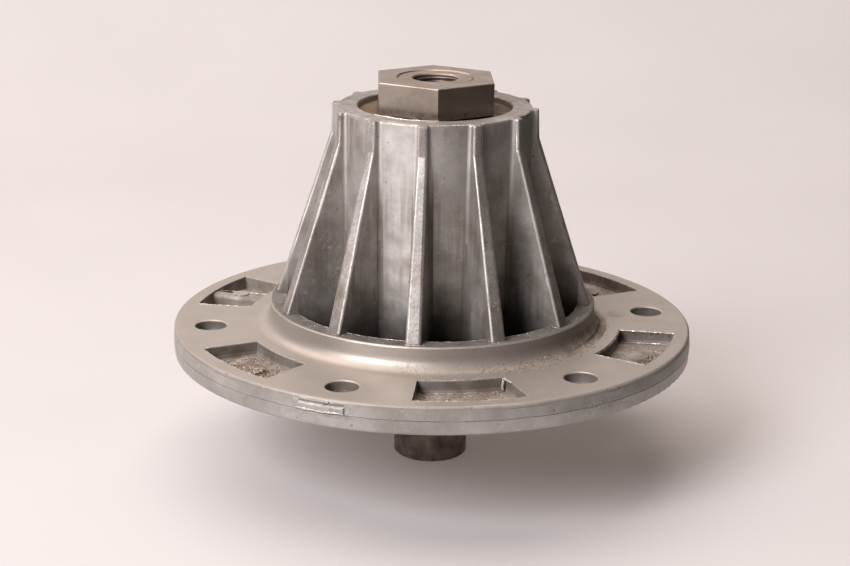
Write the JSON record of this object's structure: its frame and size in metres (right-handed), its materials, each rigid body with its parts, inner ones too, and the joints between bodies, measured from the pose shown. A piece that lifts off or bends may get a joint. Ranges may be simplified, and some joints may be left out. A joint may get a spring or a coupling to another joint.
{
  "type": "mower deck spindle",
  "caption": "Flanged spindle with a gusseted cast cone, taper roller bearings and a turning steel shaft that carries a blade at the nut end and a pulley at the stub.",
  "frame": {"origin": "on the spindle's axis, in the plane of the flange face that seats on the deck", "axes": "+Z along the axis towards the nut, +X through one of the flange's bolt holes"},
  "size_m": [0.2222, 0.2222, 0.1666],
  "materials": {
    "cast_aluminium": "as cast, with turned flange face and pilot",
    "shaft_steel": "turned steel, darkened by age",
    "nut_steel": "turned steel, lightly tarnished",
    "ground_steel": "ground",
    "tube_steel": "sawn tube",
    "bearing_steel": "ground and polished",
    "cage_steel": "pressed",
    "seal_steel": "pressed and plated, dusty",
    "seal_rubber": "moulded",
    "spring_steel": "wound wire"
  },
  "bodies": {
    "housing": {"spindle_housing": "cast_aluminium", "upper_bearing_cup": "bearing_steel", "lower_bearing_cup": "bearing_steel", "upper_seal_case": "seal_steel", "upper_seal_lip": "seal_rubber", "upper_seal_spring": "spring_steel", "lower_seal_case": "seal_steel", "lower_seal_lip": "seal_rubber", "lower_seal_spring": "spring_steel"},
    "shaft": {"spindle_shaft": "shaft_steel", "hex_nut": "nut_steel", "upper_wear_sleeve": "ground_steel", "bearing_spacer": "tube_steel", "upper_bearing_cone": "bearing_steel", "lower_bearing_cone": "bearing_steel"},
    "upper_roller_set": {"upper_bearing_cage": "cage_steel", "upper_bearing_rollers": "bearing_steel"},
    "lower_roller_set": {"lower_bearing_cage": "cage_steel", "lower_bearing_rollers": "bearing_steel"}
  },
  "joints": [
    {"name": "shaft_spin", "type": "hinge", "parent": "housing", "child": "shaft", "pos_m": [0, 0, 0], "axis": [0, 0, 1], "continuous": true},
    {"name": "upper_rollers_orbit", "type": "hinge", "parent": "housing", "child": "upper_roller_set", "pos_m": [0, 0, 0], "axis": [0, 0, 1], "continuous": true},
    {"name": "lower_rollers_orbit", "type": "hinge", "parent": "housing", "child": "lower_roller_set", "pos_m": [0, 0, 0], "axis": [0, 0, 1], "continuous": true}
  ],
  "couplings": [
    {"joint": "upper_rollers_orbit", "follows": "shaft_spin", "ratio": 0.43752},
    {"joint": "lower_rollers_orbit", "follows": "shaft_spin", "ratio": 0.43752}
  ]
}
